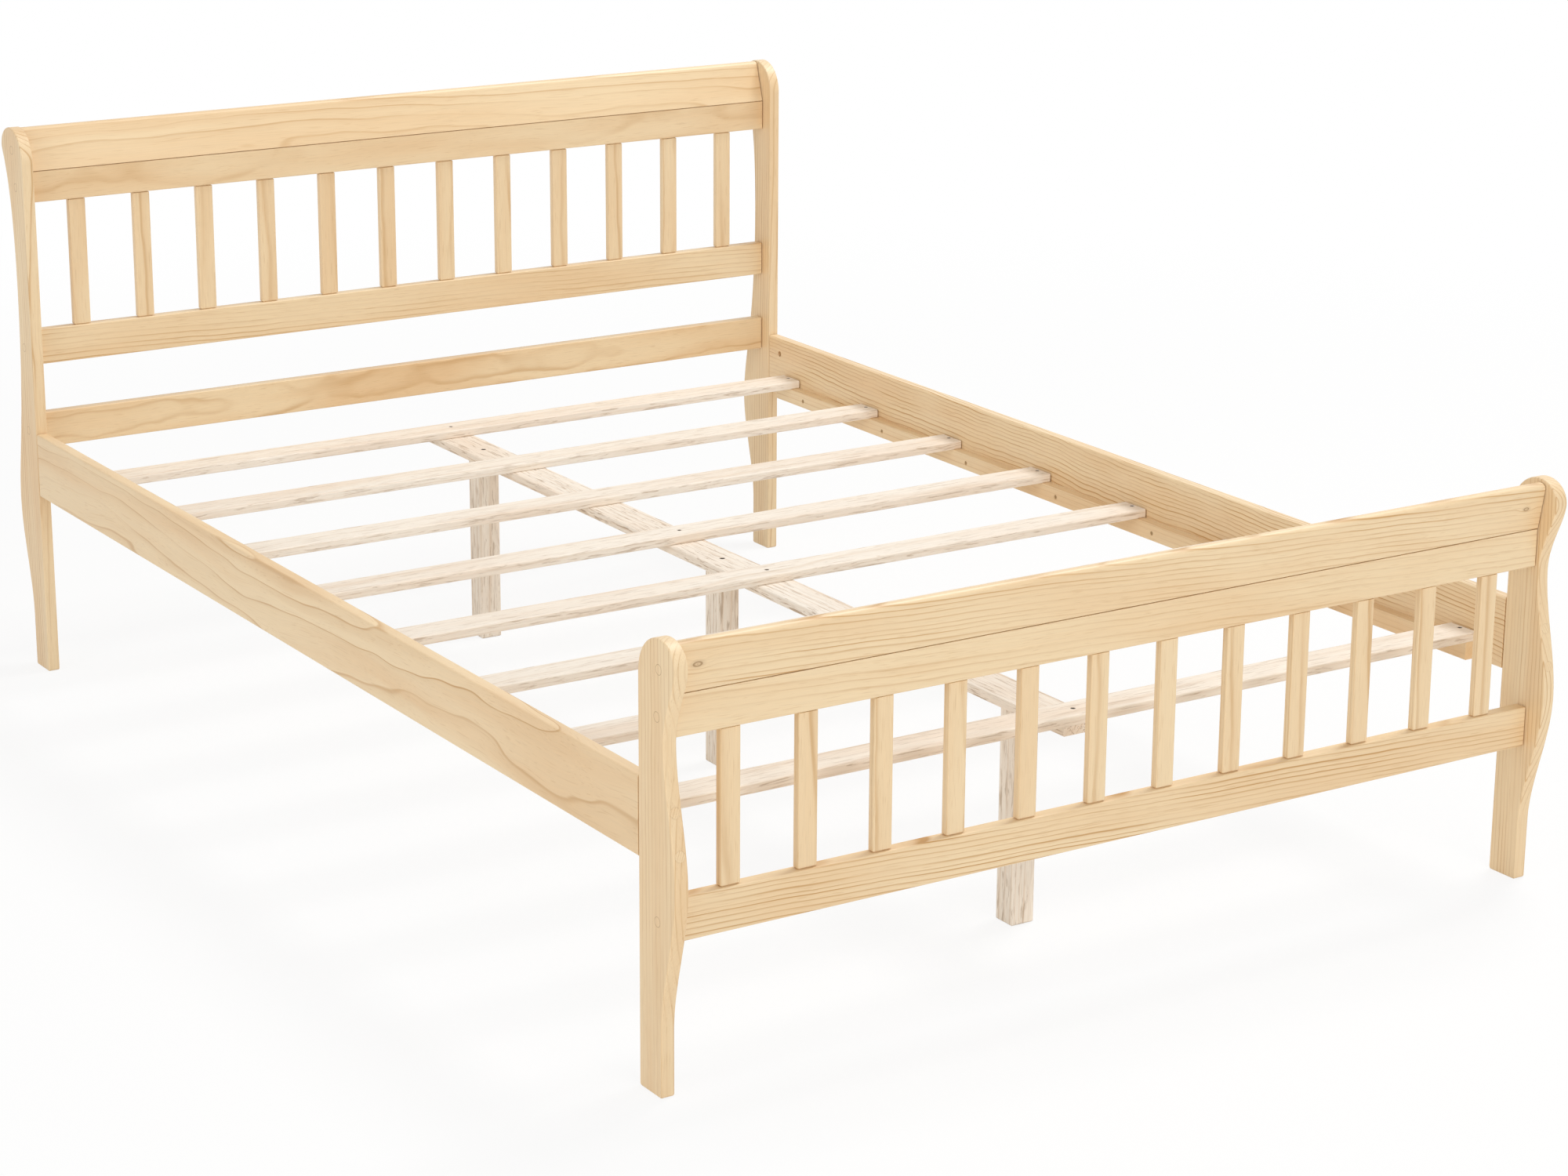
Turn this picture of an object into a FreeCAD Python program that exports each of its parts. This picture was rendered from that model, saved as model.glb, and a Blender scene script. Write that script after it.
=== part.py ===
import FreeCAD, Part
import math
import os

# Wooden platform bed, in millimetres: +X right seen from the foot, +Y towards the head, floor at zero.
# A depth is counted outwards from the posts' inner edges, at the head and at the foot alike.

# Whole frame
bed_width = 1430.0
rail_length = 1932.0
board_thick = 19.0
board_ease = 2.0

# Posts: straight inner edge, waved outer edge, rounded crown
head_height = 901.0
foot_height = 591.0
post_depth = 86.5
post_foot_depth = 52.5
head_neck_depth = 50.5
foot_neck_depth = 59.0
straight_height = 85.0
belly_height = 279.0
crown_depth = 49.0
crown_inner_rise = 52.0
crown_outer_rise = 32.0
post_ease = 2.0
post_toe = 4.0
# the neck's height, as a share of the rise from the belly to the scroll
head_neck_share = 0.6
foot_neck_share = 0.645
# how far each wave runs on upright at its lower and upper end, as shares of its rise
belly_wave_shares = (0.33, 0.33)
head_waist_shares = (0.21, 0.61)
foot_waist_shares = (0.33, 0.33)
head_scroll_shares = (0.8, 0.06)
foot_scroll_shares = (0.4, 0.25)
quarter_round_share = 0.5523

# Headboard and footboard
head_setback = 24.0
foot_setback = 34.5
panel_rail_height = 57.5
head_upper_height = 51.0
foot_upper_height = 55.0
head_lower_bottom = 376.5
head_middle_bottom = 515.0
foot_lower_bottom = 202.0
head_cap_height = 67.0
foot_cap_height = 65.5
head_cap_drop = 2.0
foot_cap_drop = 5.5
head_cap_lean = 17.0
foot_cap_lean = 9.5
cap_round = 8.0
cap_end_gap = 1.5

# Spindles
spindle_count = 12
spindle_width = 28.5
spindle_thick = 12.0
spindle_ease = 2.0
spindle_margin = 81.5
spindle_tenon_length = 10.0

# Side rails and ledgers
rail_under = 301.0
rail_height = 104.5
rail_ease = 3.0
ledger_width = 18.0
ledger_height = 27.0
ledger_ease = 1.5
ledger_nut_space = 20.0

# Slats, centre beam and centre legs
slat_count = 8
slat_width = 54.0
slat_thick = 14.0
slat_ease = 2.5
slat_margin = 52.5
slat_end_gap = 2.0
beam_width = 64.0
beam_thick = 14.0
beam_ease = 2.0
beam_inset = 4.0
leg_width = 38.0
leg_setback = 118.0
leg_ease = 3.0
leg_toe = 2.5

# Bolts, barrel nuts and plugs
bolt_diameter = 6.0
bolt_head_diameter = 11.0
bolt_head_height = 6.0
bolt_socket = 5.0
bolt_socket_side_count = 6
bolt_seat_depth = 46.0
bolt_height_shares = (0.23, 0.73)
bolt_overhang = 8.0
nut_diameter = 10.0
nut_setback = 36.0
plug_diameter = 14.0
plug_length = 9.0

# Screws and dowels
screw_head = 7.0
screw_shank = 4.0
leg_screw_head = 8.5
leg_screw_shank = 5.0
leg_screw_length = 65.0
screw_sink = 0.6
recess_width_share = 0.14
recess_length_share = 0.6
dowel_diameter = 6.0
dowel_length = 26.0
dowel_count = 6

# Fits and shares of the joinery
fit = 0.15
slack = 1.0
overrun = 5.0
ease_limit_share = 0.4
end_ease_share = 0.3
shadow_gap = 1.5
shadow_depth_share = 0.2
tenon_length_share = 0.8
tenon_height_share = 0.7
tenon_thick_share = 0.4
spindle_tenon_share = 0.5
nut_length_share = 0.65
screw_grip_share = 0.7
ledger_screw_share = 0.25
ledger_screw_height_share = 0.45
parallel_share = 0.999

# Directions, and the names of the two ends and the two sides
Vector = FreeCAD.Vector
across, lengthwise, upright = 0, 1, 2
axes = (Vector(1, 0, 0), Vector(0, 1, 0), Vector(0, 0, 1))
down = Vector(0, 0, -1)
head, foot = 1, -1
left, right = -1, 1
end_names = {head: "head", foot: "foot"}
side_names = {left: "left", right: "right"}

# What differs between the head and the foot
setback = {head: head_setback, foot: foot_setback}
post_height = {head: head_height, foot: foot_height}
neck_depth = {head: head_neck_depth, foot: foot_neck_depth}
neck_share = {head: head_neck_share, foot: foot_neck_share}
waist_shares = {head: head_waist_shares, foot: foot_waist_shares}
scroll_shares = {head: head_scroll_shares, foot: foot_scroll_shares}
cap_height = {head: head_cap_height, foot: foot_cap_height}
cap_lean = {head: head_cap_lean, foot: foot_cap_lean}
cap_seam = {
    head: head_height - head_cap_drop - head_cap_height,
    foot: foot_height - foot_cap_drop - foot_cap_height,
}

# Values that follow from the sizes above
inner_half = bed_width / 2 - board_thick
board_middle = bed_width / 2 - board_thick / 2
rail_end = rail_length / 2
bolt_hole = bolt_diameter + 2 * fit
bolt_heights = [rail_under + share * rail_height for share in bolt_height_shares]
nut_length = nut_length_share * board_thick
end_tenon_length = tenon_length_share * (board_thick - bolt_hole) / 2
spindle_step = 2 * (inner_half - spindle_margin) / (spindle_count - 1)
spindle_places = [spindle_margin - inner_half + spindle_step * k for k in range(spindle_count)]
spindle_top = {head: cap_seam[head] - head_upper_height, foot: cap_seam[foot] - foot_upper_height}
spindle_bottom = {head: head_middle_bottom + panel_rail_height, foot: foot_lower_bottom + panel_rail_height}
slat_bottom = rail_under + ledger_height
slat_top = slat_bottom + slat_thick
slat_half = inner_half - slat_end_gap
slat_step = (rail_length - 2 * slat_margin - slat_width) / (slat_count - 1)
slat_places = [rail_end - slat_margin - slat_width / 2 - slat_step * k for k in range(slat_count)]
# the two end slats and the two in the middle are screwed down to the beam
beam_slats = (1, slat_count // 2, slat_count // 2 + 1, slat_count)
beam_half = slat_places[0] + slat_width / 2 - beam_inset
leg_reach = slat_places[0] - leg_setback
leg_places = [leg_reach, 0, -leg_reach]
leg_height = slat_bottom - beam_thick
ledger_half = rail_end - nut_setback - ledger_nut_space
ledger_middle = inner_half - ledger_width / 2
slat_screw_length = slat_thick + screw_grip_share * ledger_height
beam_screw_length = slat_thick + screw_grip_share * beam_thick
ledger_screw_length = ledger_width + screw_grip_share * board_thick

# the rails of both ends: name, end, underside, height
end_rails = [
    ("head_upper_rail", head, spindle_top[head], head_upper_height),
    ("head_middle_rail", head, head_middle_bottom, panel_rail_height),
    ("head_lower_rail", head, head_lower_bottom, panel_rail_height),
    ("foot_upper_rail", foot, spindle_top[foot], foot_upper_height),
    ("foot_lower_rail", foot, foot_lower_bottom, panel_rail_height),
]
# the rails that hold spindles: height of the face they enter, and 1 for upwards or -1 for downwards
spindle_sockets = {
    "head_upper_rail": (spindle_top[head], 1),
    "head_middle_rail": (spindle_bottom[head], -1),
    "foot_upper_rail": (spindle_top[foot], 1),
    "foot_lower_rail": (spindle_bottom[foot], -1),
}
capped_rails = ("head_upper_rail", "foot_upper_rail")


def at_depth(end, depth):
    return end * (rail_end + depth)


def panel_middle(end):
    return at_depth(end, setback[end] + board_thick / 2)


# Plain bodies

def box_about(centre, size):
    corner = Vector(*[centre[k] - size[k] / 2 for k in range(3)])
    return Part.makeBox(*size, corner)


def rod(start, direction, diameter, length):
    return Part.makeCylinder(diameter / 2, length, start, direction)


def runs_along(edge, direction):
    return abs(edge.tangentAt(edge.FirstParameter).dot(direction)) > parallel_share


def eased_bar(centre, size, along, ease):
    # straight bar with its four long edges rounded over, and its sawn ends a little less
    bar = box_about(centre, size)
    thinnest = min(size[k] for k in range(3) if k != along)
    radius = min(ease, ease_limit_share * thinnest)
    bar = bar.makeFillet(radius, [edge for edge in bar.Edges if runs_along(edge, axes[along])])
    rims = [edge for edge in bar.Edges if not runs_along(edge, axes[along])]
    return bar.makeFillet(end_ease_share * radius, rims)


def join(body, additions):
    return body.fuse(additions).removeSplitter()


def jointed_bar(centre, size, along, ease):
    # stops a shadow line short of what it meets at each end, where only its core goes on
    depth = shadow_depth_share * min(size)
    short = [length - 2 * shadow_gap * (k == along) for k, length in enumerate(size)]
    core = [length - 2 * depth * (k != along) for k, length in enumerate(size)]
    return join(eased_bar(centre, short, along, ease), [box_about(centre, core)])


# Screws: a countersunk head with a cross recess, sunk a little under the surface that it is driven into.
# Each is described by its place on that surface, its direction, head, shank and length.

def set_at(shape, place, direction):
    shape.Placement = FreeCAD.Placement(place, FreeCAD.Rotation(down, direction))
    return shape


def screw(place, direction, head_size, shank_size, length):
    cone_height = (head_size - shank_size) / 2
    top = down * screw_sink
    cone = Part.makeCone(head_size / 2, shank_size / 2, cone_height, top, down)
    shank = rod(top + down * cone_height, down, shank_size, length - cone_height - screw_sink)
    arm_length = recess_length_share * head_size
    arm_width = recess_width_share * head_size
    recess = [
        box_about(top, (arm_length, arm_width, cone_height)),
        box_about(top, (arm_width, arm_length, cone_height)),
    ]
    return set_at(join(cone, [shank]).cut(recess), place, direction)


def screw_hole(place, direction, head_size, shank_size, length):
    cone_height = (head_size - shank_size) / 2
    top = down * screw_sink
    mouth = rod(-down * overrun, down, head_size + 2 * fit, overrun + screw_sink)
    cone = Part.makeCone(head_size / 2 + fit, shank_size / 2 + fit, cone_height, top, down)
    shank = rod(top, down, shank_size + 2 * fit, length - screw_sink + slack)
    return set_at(mouth.fuse([cone, shank]), place, direction)


def slat_end_screw(side, y):
    return Vector(side * ledger_middle, y, slat_top), down, screw_head, screw_shank, slat_screw_length


def beam_screw(y):
    return Vector(0, y, slat_top), down, screw_head, screw_shank, beam_screw_length


def leg_screw(y):
    return Vector(0, y, slat_bottom), down, leg_screw_head, leg_screw_shank, leg_screw_length


def ledger_screw(side, y):
    # a little in front of the slat at y, clear of the slat's own screw
    height = rail_under + ledger_screw_height_share * ledger_height
    place = Vector(side * (inner_half - ledger_width), y - ledger_screw_share * slat_step, height)
    return place, axes[across] * side, screw_head, screw_shank, ledger_screw_length


def ledger_screws(side):
    return [ledger_screw(side, y) for y in slat_places[:-1]]


def beam_screws():
    return [beam_screw(slat_places[number - 1]) for number in beam_slats]


# Bolts through the posts into barrel nuts in the side rails

def bolt_corners():
    return [(end, side, z) for end in (head, foot) for side in (left, right) for z in bolt_heights]


def bolt_seat(end, side, z):
    return Vector(side * board_middle, at_depth(end, bolt_seat_depth), z)


def bolt(end, side, z):
    seat = bolt_seat(end, side, z)
    inward = axes[lengthwise] * -end
    cap_head = rod(seat, -inward, bolt_head_diameter, bolt_head_height)
    shank = rod(seat, inward, bolt_diameter, bolt_seat_depth + nut_setback + bolt_overhang)
    rim = seat - inward * bolt_head_height
    spoke = axes[upright] * bolt_socket / (2 * math.cos(math.pi / bolt_socket_side_count))
    step = 360 / bolt_socket_side_count
    turns = [FreeCAD.Rotation(inward, step * k) for k in range(bolt_socket_side_count)]
    corners = [rim + turn.multVec(spoke) for turn in turns]
    socket = Part.Face(Part.makePolygon(corners + corners[:1])).extrude(inward * bolt_head_height / 2)
    return join(cap_head, [shank]).cut(socket)


def bolt_bore(end, side, z):
    # clearance hole for the shank, and the wide bore that takes the head and the plug
    seat = bolt_seat(end, side, z)
    inward = axes[lengthwise] * -end
    wide = rod(seat, -inward, plug_diameter + 2 * fit, post_depth)
    narrow = rod(seat, inward, bolt_hole, bolt_seat_depth + nut_setback + bolt_overhang + slack)
    return wide.fuse(narrow)


def bolt_plug(end, side, z, board):
    # flush with the post's own outer face
    outward = axes[lengthwise] * end
    start = Vector(side * board_middle, at_depth(end, 0), z)
    crossing = Part.makeLine(start, start + outward * (post_depth + overrun)).common(board)
    inner_face = start + outward * (crossing.Length - plug_length)
    return rod(inner_face, outward, plug_diameter, post_depth).common(board)


def barrel_nut(end, side, z):
    middle = Vector(side * board_middle, at_depth(end, -nut_setback), z)
    barrel = rod(middle - axes[across] * nut_length / 2, axes[across], nut_diameter, nut_length)
    thread = rod(middle - axes[lengthwise] * nut_diameter, axes[lengthwise], bolt_hole, 2 * nut_diameter)
    return barrel.cut(thread)


def barrel_hole(end, side, z):
    # open on the rail's inner face, and just past the nut at its far end
    mouth = Vector(side * (inner_half - overrun), at_depth(end, -nut_setback), z)
    depth = (board_thick + nut_length) / 2 + fit
    return rod(mouth, axes[across] * side, nut_diameter + 2 * fit, overrun + depth)


# Posts

def curve(points):
    bezier = Part.BezierCurve()
    bezier.setPoles(points)
    return bezier.toShape()


def post_outline(end):
    height = post_height[end]
    scroll_height = height - crown_outer_rise
    neck_height = belly_height + neck_share[end] * (scroll_height - belly_height)

    def spot(depth, z):
        return Vector(0, at_depth(end, depth), z)

    def wave(start, finish, shares):
        rise = finish[1] - start[1]
        lower = spot(start[0], start[1] + shares[0] * rise)
        upper = spot(finish[0], finish[1] - shares[1] * rise)
        return curve([spot(*start), lower, upper, spot(*finish)])

    def crown(depth, rise):
        upright_pole = spot(depth, height - rise + quarter_round_share * rise)
        level_pole = spot(crown_depth + quarter_round_share * (depth - crown_depth), height)
        return curve([spot(depth, height - rise), upright_pole, level_pole, spot(crown_depth, height)])

    straight = (post_foot_depth, straight_height)
    belly = (post_depth, belly_height)
    neck = (neck_depth[end], neck_height)
    scroll = (post_depth, scroll_height)
    edges = [
        Part.makeLine(spot(0, 0), spot(post_foot_depth, 0)),
        Part.makeLine(spot(post_foot_depth, 0), spot(*straight)),
        wave(straight, belly, belly_wave_shares),
        wave(belly, neck, waist_shares[end]),
        wave(neck, scroll, scroll_shares[end]),
        crown(post_depth, crown_outer_rise),
        crown(0, crown_inner_rise),
        Part.makeLine(spot(0, height - crown_inner_rise), spot(0, 0)),
    ]
    return Part.Face(Part.Wire(Part.sortEdges(edges)[0]))


def post_board(end, side):
    # the whole board, with its toes rounded off and its outline rounded over on both faces
    board = post_outline(end).extrude(axes[across] * board_thick)
    toes = [edge for edge in board.Edges if runs_along(edge, axes[across]) and edge.CenterOfMass.z < post_toe]
    board = board.makeFillet(post_toe, toes)
    rims = [edge for edge in board.Edges if not runs_along(edge, axes[across])]
    board = board.makeFillet(min(post_ease, ease_limit_share * board_thick), rims)
    board.translate(axes[across] * (side * board_middle - board_thick / 2))
    return board


def post(end, side, board):
    bores = [bolt_bore(end, side, z) for z in bolt_heights]
    own_rails = [rail for rail in end_rails if rail[1] == end]
    mortises = [end_tenon(end, side, bottom, height, fit, slack) for _, _, bottom, height in own_rails]
    return board.cut(bores + mortises)


# Headboard and footboard: a gap and some extra length turn a tenon or a dowel into its hole

def end_tenon(end, side, bottom, height, gap, extra):
    length = end_tenon_length + extra
    size = (length, tenon_thick_share * board_thick + 2 * gap, tenon_height_share * height + 2 * gap)
    return box_about(Vector(side * (inner_half + length / 2), panel_middle(end), bottom + height / 2), size)


def spindle_tenon(end, x, face, upward, gap, extra):
    length = spindle_tenon_length + extra
    width = spindle_tenon_share * spindle_width + 2 * gap
    thick = spindle_tenon_share * spindle_thick + 2 * gap
    return box_about(Vector(x, panel_middle(end), face + upward * length / 2), (width, thick, length))


def dowel_places():
    step = 2 * inner_half / dowel_count
    return [step * (k + 1 / 2) - inner_half for k in range(dowel_count)]


def cap_dowel(end, x, gap, extra):
    length = dowel_length + 2 * extra
    top = Vector(x, panel_middle(end), cap_seam[end] + length / 2)
    return rod(top, down, dowel_diameter + 2 * gap, length)


def dowel_holes(end):
    return [cap_dowel(end, x, fit, slack) for x in dowel_places()]


def seam_grooves(end):
    # the shadow line under the cap, on both faces of its rail
    depth = shadow_depth_share * board_thick
    size = (2 * (inner_half + end_tenon_length), depth + overrun, 2 * shadow_gap)
    reach = axes[lengthwise] * (board_thick - depth + overrun) / 2
    seam = Vector(0, panel_middle(end), cap_seam[end])
    return [box_about(seam - reach, size), box_about(seam + reach, size)]


def end_rail(name, end, bottom, height):
    centre = Vector(0, panel_middle(end), bottom + height / 2)
    bar = jointed_bar(centre, (2 * inner_half, board_thick, height), across, board_ease)
    rail = join(bar, [end_tenon(end, side, bottom, height, 0, 0) for side in (left, right)])
    if name in spindle_sockets:
        face, upward = spindle_sockets[name]
        rail = rail.cut([spindle_tenon(end, x, face, upward, fit, slack) for x in spindle_places])
    if name in capped_rails:
        rail = rail.cut(dowel_holes(end) + seam_grooves(end))
    return rail


def spindle(end, x):
    top, bottom = spindle_top[end], spindle_bottom[end]
    centre = Vector(x, panel_middle(end), (top + bottom) / 2)
    bar = jointed_bar(centre, (spindle_width, spindle_thick, top - bottom), upright, spindle_ease)
    return join(bar, [spindle_tenon(end, x, top, 1, 0, 0), spindle_tenon(end, x, bottom, -1, 0, 0)])


def cap(end):
    # board that leans outwards, cut level underneath and rounded over along the top
    seam, height = cap_seam[end], cap_height[end]
    lean = math.radians(cap_lean[end])
    front, back = setback[end], setback[end] + board_thick / math.cos(lean)
    run = height * math.tan(lean)
    half = inner_half - cap_end_gap
    section = [(front, seam), (back, seam), (back + run, seam + height), (front + run, seam + height)]
    corners = [Vector(-half, at_depth(end, depth), z) for depth, z in section]
    board = Part.Face(Part.makePolygon(corners + corners[:1])).extrude(axes[across] * 2 * half)
    long_edges = [edge for edge in board.Edges if runs_along(edge, axes[across])]
    top_edges = [edge for edge in long_edges if edge.CenterOfMass.z > seam + height / 2]
    board = board.makeFillet(min(cap_round, ease_limit_share * board_thick), top_edges)
    return board.cut(dowel_holes(end))


# Side rails and ledgers

def side_rail(side):
    centre = Vector(side * board_middle, 0, rail_under + rail_height / 2)
    bar = jointed_bar(centre, (board_thick, rail_length, rail_height), lengthwise, rail_ease)
    corners = [corner for corner in bolt_corners() if corner[1] == side]
    bores = [bolt_bore(*corner) for corner in corners] + [barrel_hole(*corner) for corner in corners]
    return bar.cut(bores + [screw_hole(*item) for item in ledger_screws(side)])


def ledger(side):
    centre = Vector(side * ledger_middle, 0, rail_under + ledger_height / 2)
    bar = eased_bar(centre, (ledger_width, 2 * ledger_half, ledger_height), lengthwise, ledger_ease)
    slat_holes = [screw_hole(*slat_end_screw(side, y)) for y in slat_places]
    return bar.cut(slat_holes + [screw_hole(*item) for item in ledger_screws(side)])


# Slats, beam and legs

def slat(number, y):
    centre = Vector(0, y, slat_bottom + slat_thick / 2)
    bar = eased_bar(centre, (2 * slat_half, slat_width, slat_thick), across, slat_ease)
    screws = [slat_end_screw(side, y) for side in (left, right)]
    if number in beam_slats:
        screws.append(beam_screw(y))
    return bar.cut([screw_hole(*item) for item in screws])


def centre_beam():
    centre = Vector(0, 0, slat_bottom - beam_thick / 2)
    bar = eased_bar(centre, (beam_width, 2 * beam_half, beam_thick), lengthwise, beam_ease)
    screws = beam_screws() + [leg_screw(y) for y in leg_places]
    return bar.cut([screw_hole(*item) for item in screws])


def centre_leg(y):
    # square leg, rounded along its corners and chamfered round its foot, with flat and round faces only
    blank = box_about(Vector(0, y, leg_height / 2), (leg_width, leg_width, leg_height))
    corner_edges = [edge for edge in blank.Edges if runs_along(edge, axes[upright])]
    rounded = blank.makeFillet(min(leg_ease, ease_limit_share * leg_width), corner_edges)
    toe_edges = [edge for edge in blank.Edges if edge.BoundBox.ZMax < leg_height / 2]
    chamfered = blank.makeChamfer(min(leg_toe, ease_limit_share * leg_width), toe_edges)
    return rounded.common(chamfered).cut(screw_hole(*leg_screw(y)))


# The whole bed, one named shape for each piece or group of like fasteners

def end_pieces(end):
    pieces = {}
    for x, number in zip(spindle_places, range(1, spindle_count + 1)):
        pieces[f"{end_names[end]}_spindle_{number:02d}"] = spindle(end, x)
    for rail in end_rails:
        if rail[1] == end:
            pieces[rail[0]] = end_rail(*rail)
    pieces[end_names[end] + "_cap"] = cap(end)
    return pieces


def bed_pieces():
    pieces = {}
    for side, side_name in side_names.items():
        pieces["side_rail_" + side_name] = side_rail(side)
        pieces["ledger_" + side_name] = ledger(side)
    for number, y in enumerate(slat_places, 1):
        pieces[f"slat_{number}"] = slat(number, y)
    pieces["centre_beam"] = centre_beam()
    for number, y in enumerate(leg_places, 1):
        pieces[f"centre_leg_{number}"] = centre_leg(y)
    return pieces


def posts_and_plugs():
    pieces = {}
    plugs = []
    for end, end_name in end_names.items():
        for side, side_name in side_names.items():
            board = post_board(end, side)
            pieces[end_name + "_post_" + side_name] = post(end, side, board)
            plugs += [bolt_plug(end, side, z, board) for z in bolt_heights]
    pieces["bolt_plugs"] = Part.makeCompound(plugs)
    return pieces


def fasteners():
    slat_screws = [slat_end_screw(side, y) for y in slat_places for side in (left, right)]
    groups = {
        "rail_bolts": [bolt(*corner) for corner in bolt_corners()],
        "barrel_nuts": [barrel_nut(*corner) for corner in bolt_corners()],
        "slat_screws": [screw(*item) for item in slat_screws],
        "beam_screws": [screw(*item) for item in beam_screws()],
        "leg_screws": [screw(*leg_screw(y)) for y in leg_places],
        "ledger_screws": [screw(*item) for item in ledger_screws(left) + ledger_screws(right)],
        "cap_dowels": [cap_dowel(end, x, 0, 0) for end in (head, foot) for x in dowel_places()],
    }
    return {name: Part.makeCompound(solids) for name, solids in groups.items()}


os.makedirs("parts", exist_ok=True)
whole_bed = {**posts_and_plugs(), **end_pieces(head), **end_pieces(foot), **bed_pieces(), **fasteners()}
for piece_name, shape in whole_bed.items():
    shape.exportStep("parts/" + piece_name + ".step")
    print(piece_name, len(shape.Solids), round(shape.Volume), shape.isValid())
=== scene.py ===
import math

import bpy
from mathutils import Matrix, Vector


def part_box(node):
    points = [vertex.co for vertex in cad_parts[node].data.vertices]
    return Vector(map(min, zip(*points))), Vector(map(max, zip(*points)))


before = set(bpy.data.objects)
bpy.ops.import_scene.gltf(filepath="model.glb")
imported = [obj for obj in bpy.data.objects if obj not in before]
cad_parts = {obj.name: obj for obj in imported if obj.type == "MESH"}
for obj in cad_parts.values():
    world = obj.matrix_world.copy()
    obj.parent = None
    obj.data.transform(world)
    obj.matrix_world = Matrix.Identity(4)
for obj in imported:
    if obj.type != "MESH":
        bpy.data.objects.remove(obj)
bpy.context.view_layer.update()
print("bed loaded,", len(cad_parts), "pieces of wood and hardware")

scene = bpy.context.scene
mm = 0.001  # the scene is in metres, the workshop's sizes are in millimetres


def linear(hexText):  # sRGB hex to a linear colour
    shares = [int(hexText[k:k + 2], 16) / 255 for k in (1, 3, 5)]
    return [s / 12.92 if s <= 0.04045 else ((s + 0.055) / 1.055) ** 2.4 for s in shares] + [1.0]


def emptyTree(owner):  # the node tree of a material or a world, with nothing in it yet
    owner.use_nodes = True
    owner.node_tree.nodes.clear()
    return owner.node_tree


def addNode(tree, kind, sockets, take=0, **settings):
    # a socket gets a plain value or the output that feeds it, and take says which output comes back
    node = tree.nodes.new(kind)
    for name, value in settings.items():
        setattr(node, name, value)
    for name, value in sockets.items():
        if isinstance(value, bpy.types.NodeSocket):
            tree.links.new(value, node.inputs[name])
        else:
            node.inputs[name].default_value = value
    return node if take is None else node.outputs[take]


def middleOf(name):
    low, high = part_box(name)
    return (low + high) / 2


def dress(pieces, material):
    for name in pieces:
        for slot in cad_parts[name].material_slots:
            slot.material = material


# Pine figure: growth rings round the pith of the log, seen wherever the board was cut.
# Log Place has the pith along X, so a board shows straight lines or arches by where it lies in the log.
growth = {
    "bendAlong": 280, "bendAcross": 160,  # how far apart the rings' bends are, in mm along and across the grain
    "rateAcross": 18, "rateShare": 0.8,   # how often, and by how many rings, good and poor years differ
    "faintYear": 0.45,                    # the faintest year's line, where the strongest has 1
    "hazeFrom": 0.3, "haze": 0.3,         # late wood before the line: from which part of the year, and how dark
    "darkest": 0.62,                      # where in the line, so that it ends more sharply than it begins
    "lineShare": 0.34,                    # the line's part of a year, where a board has none of its own
    "fibreRange": (0.25, 0.75),           # the fibres' noise hardly leaves this range
}

# What lies over the rings: mm along and across the grain, settings of the noise, and from where to where it shows
patterns = {
    # lines come and go
    "Fade": {"along": 240, "across": 30, "noise": {"Detail": 1.0}, "shows": (0.34, 0.6), "least": 0.25},
    # warmer and paler areas
    "Patch": {"along": 420, "across": 60, "noise": {"Detail": 2.0}, "shows": (0.38, 0.68)},
    # real fibres are far finer, drawn as coarse as they need to show
    "Fibre": {"along": 60, "across": 1.8, "noise": {"Detail": 2.0}},
    # resin canals, as short dashes
    "Fleck": {"along": 26, "across": 1.1, "noise": {"Detail": 0.0}, "shows": (0.64, 0.78), "edge": "LINEAR"},
    # torn fibres of a sawn face
    "Tear": {"along": 45, "across": 3.6, "noise": {"Detail": 3.0, "Roughness": 0.62, "Distortion": 0.8},
             "shows": (0.52, 0.66)},
}


def perMetre(along, across):  # repeats in a metre, along and across the grain
    return (1 / (along * mm), 1 / (across * mm), 1 / (across * mm))


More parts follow.
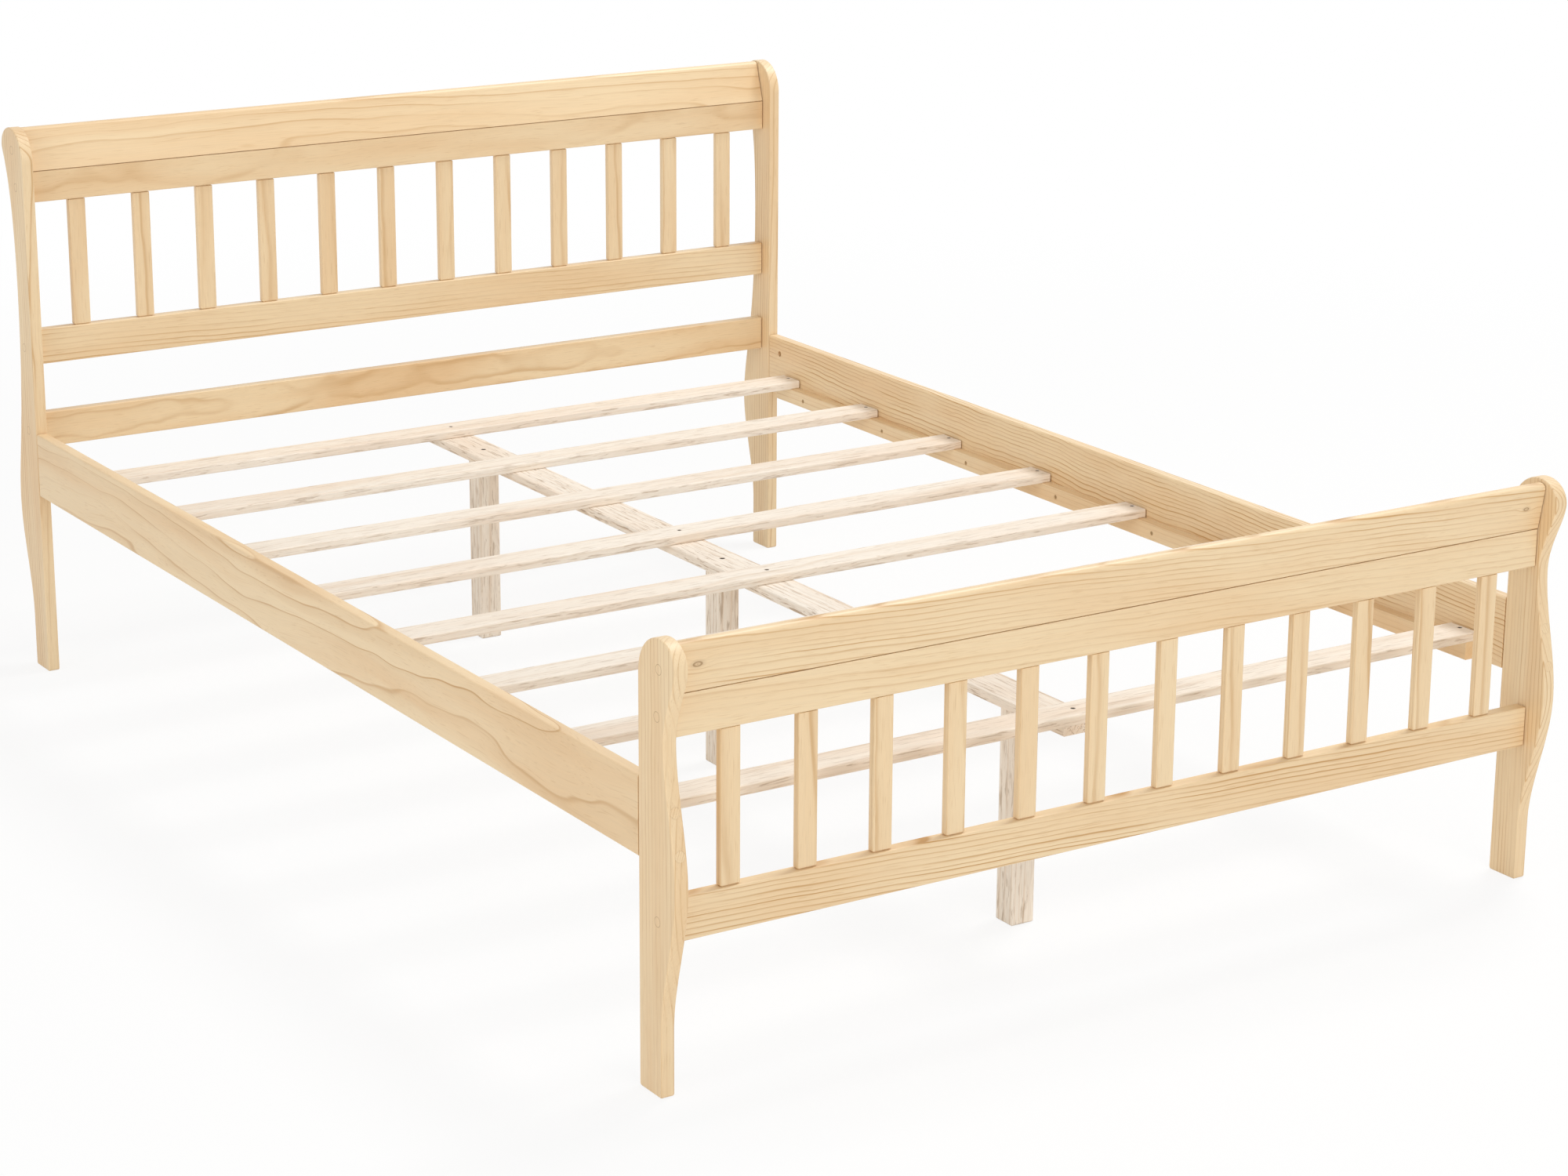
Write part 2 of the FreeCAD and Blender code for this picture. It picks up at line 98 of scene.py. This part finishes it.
def makePineFigure():
    tree = bpy.data.node_groups.new("pineFigure", "ShaderNodeTree")
    tree.interface.new_socket("Log Place", in_out="INPUT", socket_type="NodeSocketVector")
    for name in ("Push", "Ring Width", "Line Share", "Bend", "Seed"):
        tree.interface.new_socket(name, in_out="INPUT", socket_type="NodeSocketFloat")
    for name in ("Line", "Patch", "Fibre", "Fleck", "Tear"):
        tree.interface.new_socket(name, in_out="OUTPUT", socket_type="NodeSocketFloat")
    given = addNode(tree, "NodeGroupInput", {}, take=None).outputs
    place, seed = given["Log Place"], given["Seed"]

    # the rings bend slowly along the log
    bendAt = addNode(tree, "ShaderNodeVectorMath", {0: place, 1: perMetre(growth["bendAlong"], growth["bendAcross"])},
                     operation="MULTIPLY")
    waves = addNode(tree, "ShaderNodeTexNoise", {"Vector": bendAt, "W": seed, "Scale": 1.0, "Detail": 3.0,
                    "Roughness": 0.5}, take="Color", noise_dimensions="4D")
    centred = addNode(tree, "ShaderNodeVectorMath", {0: waves, 1: (0.5, 0.5, 0.5)}, operation="SUBTRACT")
    shift = addNode(tree, "ShaderNodeVectorMath", {0: centred, "Scale": given["Bend"]}, operation="SCALE")
    bent = addNode(tree, "ShaderNodeVectorMath", {0: place, 1: shift}, operation="ADD")
    crosswise = addNode(tree, "ShaderNodeVectorMath", {0: bent, 1: (0.0, 1.0, 1.0)}, operation="MULTIPLY")
    fromPith = addNode(tree, "ShaderNodeVectorMath", {0: crosswise}, take="Value", operation="LENGTH")
    radius = addNode(tree, "ShaderNodeMath", {0: fromPith, 1: given["Push"]}, operation="ADD")

    # good and poor years: wide and narrow rings, and strong and faint lines
    years = addNode(tree, "ShaderNodeMath", {0: radius, 1: given["Ring Width"]}, operation="DIVIDE")
    rateAt = addNode(tree, "ShaderNodeMath", {0: radius, 1: 1 / (growth["rateAcross"] * mm), 2: seed},
                     operation="MULTIPLY_ADD")
    rate = addNode(tree, "ShaderNodeTexNoise", {"W": rateAt, "Scale": 1.0, "Detail": 1.0}, noise_dimensions="1D")
    counted = addNode(tree, "ShaderNodeMath", {0: rate, 1: growth["rateShare"], 2: years}, operation="MULTIPLY_ADD")
    season = addNode(tree, "ShaderNodeMath", {0: counted}, operation="FRACT")
    year = addNode(tree, "ShaderNodeMath", {0: counted}, operation="FLOOR")
    yearSeed = addNode(tree, "ShaderNodeMath", {0: year, 1: seed}, operation="ADD")
    chance = addNode(tree, "ShaderNodeTexWhiteNoise", {"W": yearSeed}, noise_dimensions="1D")
    strength = addNode(tree, "ShaderNodeMapRange", {"Value": chance, "To Min": growth["faintYear"], "To Max": 1.0})

    # late wood: a slow haze through the year, then a thin dark line that ends sharply
    begin = addNode(tree, "ShaderNodeMath", {0: 1.0, 1: given["Line Share"]}, operation="SUBTRACT")
    inLine = addNode(tree, "ShaderNodeMapRange", {"Value": season, "From Min": begin, "From Max": 1.0})
    thin = addNode(tree, "ShaderNodeValToRGB", {"Fac": inLine}, take=None)
    thin.color_ramp.interpolation = "EASE"
    thin.color_ramp.elements[0].color = thin.color_ramp.elements[1].color = (0, 0, 0, 1)
    thin.color_ramp.elements.new(growth["darkest"]).color = (1, 1, 1, 1)
    haze = addNode(tree, "ShaderNodeMapRange", {"Value": season, "From Min": growth["hazeFrom"],
                   "To Max": growth["haze"]}, interpolation_type="SMOOTHSTEP")
    outside = addNode(tree, "ShaderNodeMath", {0: 1.0, 1: inLine}, operation="SUBTRACT")
    late = addNode(tree, "ShaderNodeMath", {0: haze, 1: outside, 2: thin.outputs[0]}, operation="MULTIPLY_ADD")
    strong = addNode(tree, "ShaderNodeMath", {0: late, 1: strength}, operation="MULTIPLY")

    over = {}
    for name, pattern in patterns.items():
        follows = place if name == "Fade" else bent  # only the fading pays no heed to the bends
        at = addNode(tree, "ShaderNodeVectorMath", {0: follows, 1: perMetre(pattern["along"], pattern["across"])},
                     operation="MULTIPLY")
        over[name] = addNode(tree, "ShaderNodeTexNoise", {"Vector": at, "W": seed, "Scale": 1.0, **pattern["noise"]},
                             noise_dimensions="4D")
        if "shows" in pattern:
            low, high = pattern["shows"]
            over[name] = addNode(tree, "ShaderNodeMapRange", {"Value": over[name], "From Min": low, "From Max": high,
                                 "To Min": pattern.get("least", 0.0)},
                                 interpolation_type=pattern.get("edge", "SMOOTHSTEP"))
    line = addNode(tree, "ShaderNodeMath", {0: strong, 1: over.pop("Fade")}, operation="MULTIPLY")
    addNode(tree, "NodeGroupOutput", {"Line": line, **over}, take=None)
    return tree


pineFigure = makePineFigure()

# Lacquered pine: planed and sanded, with a clear satin coat, so the lines stay soft and the edges take a quiet shine
lacqueredPine = {
    "early": "#EFD6AE", "warm": "#E7C496", "late": "#C19050", "fleck": "#C09254",
    "warmShare": 0.6, "lateShare": 0.95, "fleckShare": 0.25, "fibreShare": 0.03,
    "roughness": (0.34, 0.5), "relief": 0.5, "grainRise": 0.03,
}

# Raw pine: planed but never coated, so it stays pale and matt, and its sawn faces are torn
rawPine = {
    "early": "#F4EADC", "warm": "#ECDAC6", "late": "#D2B697", "fleck": "#C8AA88", "tear": "#AF957A",
    "warmShare": 0.8, "lateShare": 0.8, "fleckShare": 0.25, "fibreShare": 0.05, "tearShare": 0.65,
    "edgeToTop": (0.3, 0.9),  # how level a face is, from a sawn edge to a planed top
    "roughness": (0.64, 0.8), "relief": 0.5, "grainRise": 0.08,
}

# Pin knots: a small heart in a dark ring of bark, drawn out along the board, with the growth rings pushed out round it.
# Lengths are in knot sizes, and each ring has its distance from the middle and its darkness.
pinKnot = {
    "tone": "#8E6A40", "length": 2.0, "heart": 0.6, "rings": ((0.36, 0.2), (0.84, 0.85), (1.12, 0.2)), "end": 2.0,
    "swell": 1.6, "swellReach": (0.5, 5.0),
}

# Plugs over the screws of the end rails: flush and of the post's own wood, so only the thin joint round each one shows
screwPlug = {"radius": 6.5, "joint": 1.0, "tone": "#A07A4C", "share": 0.5}

grainAxes = {"X": Vector((1, 0, 0)), "Y": Vector((0, 1, 0)), "Z": Vector((0, 0, 1))}


def makePine(name, finish, board, middle=Vector((0, 0, 0)), eachStick=None):
    # board: grain axis, pith in mm from the board's middle, lean in mm a metre, ring width and bend in mm, stretch, by
    # which its figure is drawn out along the grain, and late and warm, which strengthen the finish's shares of those
    material = bpy.data.materials.new(name)
    tree = emptyTree(material)
    surface = addNode(tree, "ShaderNodeTexCoord", {}, take=None).outputs
    place = surface["Object"]
    if eachStick:  # every stick of a row comes from its own part of the log
        row, step = Vector(eachStick["row"]), eachStick["step"]
        spread = [length * mm for length in eachStick["spread"]]
        beside = (Vector((1, 1, 1)) - row) * step / 2  # a constant, so that no stick is split along or through itself
        inRow = addNode(tree, "ShaderNodeVectorMath", {0: place, 1: row, 2: beside}, operation="MULTIPLY_ADD")
        stick = addNode(tree, "ShaderNodeVectorMath", {0: inRow, 1: (step, step, step)}, operation="SNAP")
        chance = addNode(tree, "ShaderNodeTexWhiteNoise", {"Vector": stick}, take="Color", noise_dimensions="3D")
        centred = addNode(tree, "ShaderNodeVectorMath", {0: chance, 1: (0.5, 0.5, 0.5)}, operation="SUBTRACT")
        apart = addNode(tree, "ShaderNodeVectorMath", {0: centred, 1: spread}, operation="MULTIPLY")
        inPlace = addNode(tree, "ShaderNodeVectorMath", {0: place, 1: stick}, operation="SUBTRACT")
        place = addNode(tree, "ShaderNodeVectorMath", {0: inPlace, 1: apart}, operation="ADD")

    # knots and plugs: how far they push the rings out, and how much of which tone they lay over the wood
    push, rounds = 0.0, []
    for along, up, size in board.get("knots", ()):  # mm from the board's middle, on a face that looks along Y
        knot = middle + Vector((along, 0, up)) * mm
        away = addNode(tree, "ShaderNodeVectorMath", {0: place, 1: knot}, operation="SUBTRACT")
        perSize = (1 / (pinKnot["length"] * size * mm), 0.0, 1 / (size * mm))
        oval = addNode(tree, "ShaderNodeVectorMath", {0: away, 1: perSize}, operation="MULTIPLY")
        reach = addNode(tree, "ShaderNodeVectorMath", {0: oval}, take="Value", operation="LENGTH")
        outward = addNode(tree, "ShaderNodeMath", {0: reach, 1: 1 / pinKnot["end"]}, operation="MULTIPLY")
        bark = addNode(tree, "ShaderNodeValToRGB", {"Fac": outward}, take=None)
        stops, heart = bark.color_ramp.elements, pinKnot["heart"]
        stops[0].color, stops[1].color = (heart, heart, heart, 1), (0, 0, 0, 1)
        for at, dark in pinKnot["rings"]:
            stops.new(at / pinKnot["end"]).color = (dark, dark, dark, 1)
        rounds.append((bark.outputs[0], pinKnot["tone"]))
        begin, end = pinKnot["swellReach"]
        near = addNode(tree, "ShaderNodeMapRange", {"Value": reach, "From Min": begin, "From Max": end,
                       "To Min": pinKnot["swell"] * size * mm, "To Max": 0.0}, interpolation_type="SMOOTHERSTEP")
        push = addNode(tree, "ShaderNodeMath", {0: near, 1: push}, operation="ADD")
    for rail in board.get("plugged", ()):  # on a face that looks along X, level with the end of a rail
        away = addNode(tree, "ShaderNodeVectorMath", {0: place, 1: middleOf(rail)}, operation="SUBTRACT")
        flat = addNode(tree, "ShaderNodeVectorMath", {0: away, 1: (0.0, 1.0, 1.0)}, operation="MULTIPLY")
        reach = addNode(tree, "ShaderNodeVectorMath", {0: flat}, take="Value", operation="LENGTH")
        joint = addNode(tree, "ShaderNodeMath", {0: reach, 1: screwPlug["radius"] * mm,
                        2: screwPlug["joint"] / 2 * mm}, operation="COMPARE")
        amount = addNode(tree, "ShaderNodeMath", {0: joint, 1: screwPlug["share"]}, operation="MULTIPLY")
        rounds.append((amount, screwPlug["tone"]))

    direction = grainAxes[board["grain"]] + Vector(board["lean"]) * mm
    turn = direction.to_track_quat("X", "Y" if board["grain"] == "Z" else "Z").to_euler()
    inLog = addNode(tree, "ShaderNodeMapping", {"Vector": place, "Location": middle + Vector(board["pith"]) * mm,
                    "Rotation": turn, "Scale": (board.get("stretch", 1), 1, 1)}, vector_type="TEXTURE")
    seen = addNode(tree, "ShaderNodeGroup", {
        "Log Place": inLog, "Push": push, "Ring Width": board["ringWidth"] * mm, "Bend": board["bend"] * mm,
        "Line Share": board.get("lineShare", growth["lineShare"]), "Seed": board["seed"],
    }, take=None, node_tree=pineFigure).outputs

    # over the early wood lie its warmer patches, the late wood's lines, the dashes, the tears and then the rounds
    layers = []
    for share, tone in (("Patch", "warm"), ("Line", "late"), ("Fleck", "fleck")):
        amount = addNode(tree, "ShaderNodeMath", {0: seen[share], 1: finish[tone + "Share"] * board.get(tone, 1)},
                         operation="MULTIPLY", use_clamp=True)
        layers.append((amount, finish[tone]))
    if "tear" in finish:  # sawn edges are torn more than planed tops
        facing = addNode(tree, "ShaderNodeSeparateXYZ", {0: surface["Normal"]}, take="Z")
        level = addNode(tree, "ShaderNodeMath", {0: facing}, operation="ABSOLUTE")
        edge, top = finish["edgeToTop"]
        rough = addNode(tree, "ShaderNodeMapRange", {"Value": level, "From Min": edge, "From Max": top,
                        "To Min": finish["tearShare"] * board["sawnEdge"],
                        "To Max": finish["tearShare"] * board["planedTop"]})
        amount = addNode(tree, "ShaderNodeMath", {0: seen["Tear"], 1: rough}, operation="MULTIPLY", use_clamp=True)
        layers.append((amount, finish["tear"]))
    colour = linear(finish["early"])
    for amount, tone in layers + rounds:  # sockets 6 and 7 and output 2 of the node are its colours
        colour = addNode(tree, "ShaderNodeMix", {0: amount, 6: colour, 7: linear(tone)}, take=2, data_type="RGBA")

    low, high = growth["fibreRange"]
    shade = addNode(tree, "ShaderNodeMapRange", {"Value": seen["Fibre"], "From Min": low, "From Max": high,
                    "To Min": 1 - finish["fibreShare"], "To Max": 1 + finish["fibreShare"]})
    colour = addNode(tree, "ShaderNodeHueSaturation", {"Value": shade, "Color": colour})
    smooth, rough = finish["roughness"]
    sheen = addNode(tree, "ShaderNodeMapRange", {"Value": seen["Fibre"], "To Min": smooth, "To Max": rough})
    relief = addNode(tree, "ShaderNodeBump", {"Height": seen["Fibre"], "Strength": finish["relief"],
                     "Distance": finish["grainRise"] * mm})
    wood = addNode(tree, "ShaderNodeBsdfPrincipled", {"Base Color": colour, "Roughness": sheen, "Normal": relief})
    addNode(tree, "ShaderNodeOutputMaterial", {"Surface": wood}, take=None)
    return material


def dressBoards(boards, finish, kind):  # every board from its own place in the log
    for name, board in boards.items():
        words = "".join(word.title() for word in name.split("_"))
        dress([name], makePine(kind + words, finish, board, middleOf(name)))
    print("dressed", ", ".join(boards))


# Headboard: arches along the top of the cap, quieter rails below
headboard = {
    "head_cap": {"grain": "X", "pith": (0, 70, -80), "lean": (0, 0, -9), "ringWidth": 9, "bend": 44, "seed": 3.1,
                 "stretch": 2, "late": 0.5, "lineShare": 0.22},
    "head_upper_rail": {"grain": "X", "pith": (0, 120, 15), "lean": (0, 6, 8), "ringWidth": 7, "bend": 26, "seed": 8.4,
                        "late": 0.3, "warm": 1.2},
    "head_middle_rail": {"grain": "X", "pith": (0, 40, -170), "lean": (0, 3, -22), "ringWidth": 8, "bend": 16,
                         "seed": 12.7, "late": 0.8},
    "head_lower_rail": {"grain": "X", "pith": (0, 75, 6), "lean": (0, 10, 4), "ringWidth": 7, "bend": 34, "seed": 21.3,
                        "late": 0.7, "warm": 1.5},
}
dressBoards(headboard, lacqueredPine, "lacqueredPine")

# Footboard: straight lines that run a little out of the boards, and a pin knot near each end of the cap
footboard = {
    "foot_cap": {"grain": "X", "pith": (0, 20, -190), "lean": (0, 0, -55), "ringWidth": 8, "bend": 17, "seed": 5.9,
                 "late": 0.9, "knots": ((-667, 2, 3.5), (665, 0, 2.5))},
    "foot_upper_rail": {"grain": "X", "pith": (0, 60, -150), "lean": (0, 4, -45), "ringWidth": 9, "bend": 16,
                        "seed": 17.2, "late": 0.35},
    "foot_lower_rail": {"grain": "X", "pith": (0, 12, -190), "lean": (0, 2, -42), "ringWidth": 7, "bend": 13,
                        "seed": 26.6, "late": 1.15},
}
dressBoards(footboard, lacqueredPine, "lacqueredPine")

# Side rails and their ledgers: wide arches outside on the left, straight lines inside on the right
sides = {
    "side_rail_left": {"grain": "Y", "pith": (95, 0, -75), "lean": (-8, 0, -30), "ringWidth": 19, "bend": 120,
                       "seed": 31.5, "stretch": 2.2, "late": 0.9, "warm": 1.4, "lineShare": 0.16},
    "side_rail_right": {"grain": "Y", "pith": (-160, 0, -150), "lean": (4, 0, 26), "ringWidth": 5, "bend": 16,
                        "seed": 38.2, "stretch": 0.6, "late": 1.1},
    # The ledgers' warm patches are strengthened, which darkens them: partly the wood's own warmer patches, partly
    # painted shade from the rail and slats above them
    "ledger_left": {"grain": "Y", "pith": (70, 0, 60), "lean": (3, 0, 4), "ringWidth": 7, "bend": 8, "seed": 63.3,
                    "late": 0.5, "warm": 1.6},
    "ledger_right": {"grain": "Y", "pith": (-60, 0, 75), "lean": (4, 0, 3), "ringWidth": 7, "bend": 8, "seed": 68.9,
                     "late": 0.5, "warm": 1.6},
}
dressBoards(sides, lacqueredPine, "lacqueredPine")

# Posts: fine upright lines on the flat faces, arches where the scroll is cut through them
headRails, footRails = tuple(headboard), tuple(footboard)
posts = {
    "head_post_left": {"grain": "Z", "pith": (95, 140, 0), "lean": (3, 12, 0), "ringWidth": 6.5, "bend": 14,
                       "seed": 41.8, "late": 0.8, "warm": 1.4, "plugged": headRails},
    "head_post_right": {"grain": "Z", "pith": (-90, 130, 0), "lean": (3, -9, 0), "ringWidth": 6.5, "bend": 10,
                        "seed": 46.1, "late": 0.8, "plugged": headRails},
    "foot_post_left": {"grain": "Z", "pith": (90, -130, 0), "lean": (3, 14, 0), "ringWidth": 6.5, "bend": 22,
                       "seed": 52.4, "stretch": 1.4, "late": 0.5, "warm": 1.5, "plugged": footRails},
    "foot_post_right": {"grain": "Z", "pith": (-85, -125, 0), "lean": (4, 11, 0), "ringWidth": 5.5, "bend": 16,
                        "seed": 57.7, "stretch": 1.4, "late": 0.7, "plugged": footRails},
}
dressBoards(posts, lacqueredPine, "lacqueredPine")

# Spindles: thin sticks ripped from several boards
spindles = {
    "head": {"grain": "Z", "pith": (144, -870, 0), "lean": (6, 6, 0), "ringWidth": 5.5, "bend": 8, "seed": 71.5,
             "late": 0.45},
    "foot": {"grain": "Z", "pith": (144, -870, 0), "lean": (6, 6, 0), "ringWidth": 5.5, "bend": 8, "seed": 74.2,
             "late": 0.55, "warm": 0.6},
}
spindleStep = middleOf("head_spindle_02").x - middleOf("head_spindle_01").x
spindleRow = {"row": (1, 0, 0), "step": spindleStep, "spread": (60, 60, 1200)}  # how far apart in the log, in mm
for end, stick in spindles.items():
    names = [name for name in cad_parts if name.startswith(end + "_spindle_")]
    middle = Vector((spindleStep / 2, middleOf(names[0]).y, 0))
    dress(names, makePine("lacqueredPineSpindles" + end.title(), lacqueredPine, stick, middle, spindleRow))
print("dressed the spindles")

# Slats, beam and legs: uncoated wood under the mattress
slats = {"grain": "X", "pith": (0, -87, -395), "lean": (0, 5, 6), "ringWidth": 9, "bend": 12, "seed": 80.3, "late": 0.4,
         "sawnEdge": 0.85, "planedTop": 0.58}
slatNames = [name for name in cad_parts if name.startswith("slat_") and name[-1].isdigit()]
slatStep = middleOf("slat_1").y - middleOf("slat_2").y
slatRow = {"row": (0, 1, 0), "step": slatStep, "spread": (1500, 100, 80)}
dress(slatNames, makePine("rawPineSlats", rawPine, slats, Vector((0, slatStep / 2, middleOf("slat_1").z)), slatRow))
underFrame = {
    # The beam's tears are stronger than the slats', which darkens and streaks it: partly torn sawn wood, partly painted
    # shade of the slats lying over it
    "centre_beam": {"grain": "Y", "pith": (60, 0, -40), "lean": (5, 0, 4), "ringWidth": 8, "bend": 12, "seed": 91.2,
                    "late": 0.7, "sawnEdge": 1.3, "planedTop": 1.1},
    "centre_leg_1": {"grain": "Z", "pith": (30, 55, 0), "lean": (6, 5, 0), "ringWidth": 7, "bend": 9, "seed": 94.6,
                     "late": 0.7, "sawnEdge": 0.95, "planedTop": 0.8},
    "centre_leg_2": {"grain": "Z", "pith": (-40, 50, 0), "lean": (5, -6, 0), "ringWidth": 7, "bend": 9, "seed": 97.8,
                     "late": 0.7, "sawnEdge": 0.95, "planedTop": 0.8},
    "centre_leg_3": {"grain": "Z", "pith": (45, -48, 0), "lean": (4, 7, 0), "ringWidth": 7, "bend": 9, "seed": 102.4,
                     "late": 0.7, "sawnEdge": 0.95, "planedTop": 0.8},
}
dressBoards(underFrame, rawPine, "rawPine")

# Bolt plugs: the posts' own wood and lacquer, seen end on as small rounds
plugs = {"grain": "Y", "pith": (25, 0, 30), "lean": (8, 0, 6), "ringWidth": 3.5, "bend": 3, "seed": 107.0, "late": 0.6}
dress(["bolt_plugs"], makePine("lacqueredPinePlugs", lacqueredPine, plugs))

# Cap dowels: bare beech, even and a little pinker than pine, with many short dark dashes
beech = dict(lacqueredPine, early="#E6CBA6", warm="#DDBB92", late="#C8A176", fleck="#A87C52", fleckShare=0.6,
             roughness=(0.52, 0.68))
dowels = {"grain": "Z", "pith": (80, 60, 0), "lean": (3, 3, 0), "ringWidth": 4, "bend": 2, "seed": 111.0, "late": 0.4}
dress(["cap_dowels"], makePine("beechDowels", beech, dowels))


def makeSteel(name, steel):
    material = bpy.data.materials.new(name)
    tree = emptyTree(material)
    place = addNode(tree, "ShaderNodeTexCoord", {}, take="Object")
    spots = addNode(tree, "ShaderNodeTexNoise", {"Vector": place, "Scale": 1 / (steel["spot"] * mm), "Detail": 3.0})
    colour = addNode(tree, "ShaderNodeMix", {0: spots, 6: linear(steel["dark"]), 7: linear(steel["light"])}, take=2,
                     data_type="RGBA")
    smooth, rough = steel["roughness"]
    sheen = addNode(tree, "ShaderNodeMapRange", {"Value": spots, "To Min": smooth, "To Max": rough})
    metal = addNode(tree, "ShaderNodeBsdfPrincipled", {"Base Color": colour, "Roughness": sheen,
                    "Metallic": steel["metallic"]})
    addNode(tree, "ShaderNodeOutputMaterial", {"Surface": metal}, take=None)
    return material


# Slat screws: phosphated steel, a dull brown-black. Ledger screws and barrel nuts: bronzed, near the wood's colour.
# Bolts: bright zinc plate, a little cloudy. Spots are in mm.
steels = {
    "phosphatedSteelScrews": {"pieces": ("slat_screws", "beam_screws", "leg_screws"), "dark": "#3A302A",
                              "light": "#5A4C42", "spot": 1.5, "roughness": (0.55, 0.75), "metallic": 0.25},
    "bronzedSteelScrews": {"pieces": ("ledger_screws", "barrel_nuts"), "dark": "#A98A61",
                           "light": "#C9A97C", "spot": 3, "roughness": (0.45, 0.65), "metallic": 0.3},
    "zincPlatedSteelBolts": {"pieces": ("rail_bolts",), "dark": "#A9ADB0",
                             "light": "#C9CCCE", "spot": 4, "roughness": (0.25, 0.45), "metallic": 1.0},
}
for name, steel in steels.items():
    dress(steel["pieces"], makeSteel(name, steel))
print("dressed plugs, dowels, screws and bolts")

# Studio: pale paper floor, soft sky, a softbox high on the right, larger and weaker ones in front and on the left
studio = {
    "floorSize": 60.0, "floor": "#F4F3F1", "floorGlow": 0.84, "shadowReach": (1.6, 4.5), "sky": 0.55,
    "lamps": {
        "topSoftbox": {"at": (2.9, 0.2, 5.6), "aim": (0, 0, 0.4), "size": 2.0, "watts": 162},
        "frontSoftbox": {"at": (-0.6, -6.2, 3.2), "aim": (0, -0.2, 0.4), "size": 3.2, "watts": 104},
        "leftSoftbox": {"at": (-6.0, -1.2, 2.4), "aim": (0, 0, 0.4), "size": 3.2, "watts": 76},
    },
}


def lookedAt(tree):  # 1 for what is looked at, straight, mirrored or through glass, and 0 for what only lights the bed
    rays = addNode(tree, "ShaderNodeLightPath", {}, take=None).outputs
    direct = addNode(tree, "ShaderNodeMath", {0: rays["Is Camera Ray"], 1: rays["Is Glossy Ray"]}, operation="MAXIMUM")
    return addNode(tree, "ShaderNodeMath", {0: direct, 1: rays["Is Transmission Ray"]}, operation="MAXIMUM")


half = studio["floorSize"] / 2
floorMesh = bpy.data.meshes.new("floor")
floorMesh.from_pydata([(-half, -half, 0), (half, -half, 0), (half, half, 0), (-half, half, 0)], [], [(0, 1, 2, 3)])
floor = bpy.data.objects.new("floor", floorMesh)
scene.collection.objects.link(floor)

# Matt studio paper: seen almost white under the bed and white further off, and still takes the bed's shadow
paper = bpy.data.materials.new("mattStudioPaper")
floorMesh.materials.append(paper)
tree = emptyTree(paper)
place = addNode(tree, "ShaderNodeTexCoord", {}, take="Object")
away = addNode(tree, "ShaderNodeVectorMath", {0: place}, take="Value", operation="LENGTH")
nearBed, farOff = studio["shadowReach"]
share = addNode(tree, "ShaderNodeMapRange", {"Value": away, "From Min": nearBed, "From Max": farOff,
                "To Min": studio["floorGlow"], "To Max": 1.0}, interpolation_type="SMOOTHSTEP")
glow = addNode(tree, "ShaderNodeMath", {0: lookedAt(tree), 1: share}, operation="MULTIPLY")
matt = addNode(tree, "ShaderNodeBsdfDiffuse", {"Color": linear(studio["floor"])})
white = addNode(tree, "ShaderNodeEmission", {"Strength": 1.0})
mixed = addNode(tree, "ShaderNodeMixShader", {0: glow, 1: matt, 2: white})
addNode(tree, "ShaderNodeOutputMaterial", {"Surface": mixed}, take=None)

# Soft sky: seen white, and lights a little less
sky = bpy.data.worlds.new("softSky")
scene.world = sky
tree = emptyTree(sky)
level = addNode(tree, "ShaderNodeMapRange", {"Value": lookedAt(tree), "To Min": studio["sky"], "To Max": 1.0})
light = addNode(tree, "ShaderNodeBackground", {"Color": (1, 1, 1, 1), "Strength": level})
addNode(tree, "ShaderNodeOutputWorld", {"Surface": light}, take=None)

for name, lamp in studio["lamps"].items():
    lampData = bpy.data.lights.new(name, "AREA")
    lampData.shape, lampData.size, lampData.energy = "SQUARE", lamp["size"], lamp["watts"]
    softbox = bpy.data.objects.new(name, lampData)
    softbox.location = lamp["at"]
    softbox.rotation_euler = (Vector(lamp["aim"]) - Vector(lamp["at"])).to_track_quat("-Z", "Y").to_euler()
    scene.collection.objects.link(softbox)
scene.view_settings.view_transform = "Standard"
print("studio lit")

# Camera: where the photograph was taken from, in metres and degrees, with lens and sensor in mm
shot = {
    "at": (-2.8315, -4.5870, 1.9039), "turn": -32.689, "down": 16.753, "roll": 0.363, "lens": 84.693, "sensor": 36.0,
}
cameraData = bpy.data.cameras.new("photoCamera")
cameraData.lens, cameraData.sensor_width = shot["lens"], shot["sensor"]
camera = bpy.data.objects.new("photoCamera", cameraData)
camera.matrix_world = (Matrix.Translation(shot["at"]) @ Matrix.Rotation(math.radians(shot["turn"]), 4, "Z")
                       @ Matrix.Rotation(math.radians(90 - shot["down"]), 4, "X")
                       @ Matrix.Rotation(math.radians(shot["roll"]), 4, "Z"))
scene.collection.objects.link(camera)
scene.camera = camera

print("camera placed")
